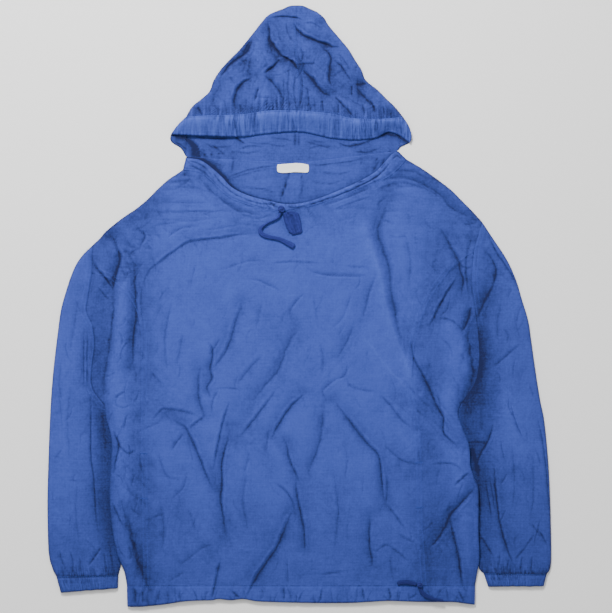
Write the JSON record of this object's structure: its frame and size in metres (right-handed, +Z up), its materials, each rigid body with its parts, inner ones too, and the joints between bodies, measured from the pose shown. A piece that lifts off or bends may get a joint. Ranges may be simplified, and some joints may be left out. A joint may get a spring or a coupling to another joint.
{
  "type": "anorak pullover",
  "caption": "Blue cotton anorak pullover laid flat, with a gathered hood, drawstring neck and hem, and elastic cuffs.",
  "frame": {"origin": "on the surface the garment lies on, under the middle of its bounding box", "axes": "+X to the picture's right across the lay, +Y from the hem to the hood's peak, +Z up off the surface"},
  "size_m": [0.8047, 0.9624, 0.0149],
  "materials": {
    "body_cloth": "matt crinkled cotton, mid blue",
    "casing_cloth": "matt gathered cotton, mid blue",
    "tie_tape": "matt self tape, navy",
    "label_tape": "blank white woven tape"
  },
  "bodies": {
    "root": {"back_body": "body_cloth", "front_body": "body_cloth", "side_panel_left": "body_cloth", "side_panel_right": "body_cloth", "sleeve_left": "body_cloth", "sleeve_right": "body_cloth", "hood_left": "body_cloth", "hood_right": "body_cloth", "cuff_left": "casing_cloth", "cuff_right": "casing_cloth", "brim_end_left": "casing_cloth", "brim_end_right": "casing_cloth", "hood_brim": "casing_cloth", "neck_casing": "casing_cloth", "hem_casing": "casing_cloth", "neck_tie_knot": "tie_tape", "neck_tie_loop": "tie_tape", "neck_tie_bow": "tie_tape", "hem_tie_knot": "tie_tape", "hem_tie_left": "tie_tape", "hem_tie_right": "tie_tape", "label": "label_tape"}
  },
  "joints": []
}
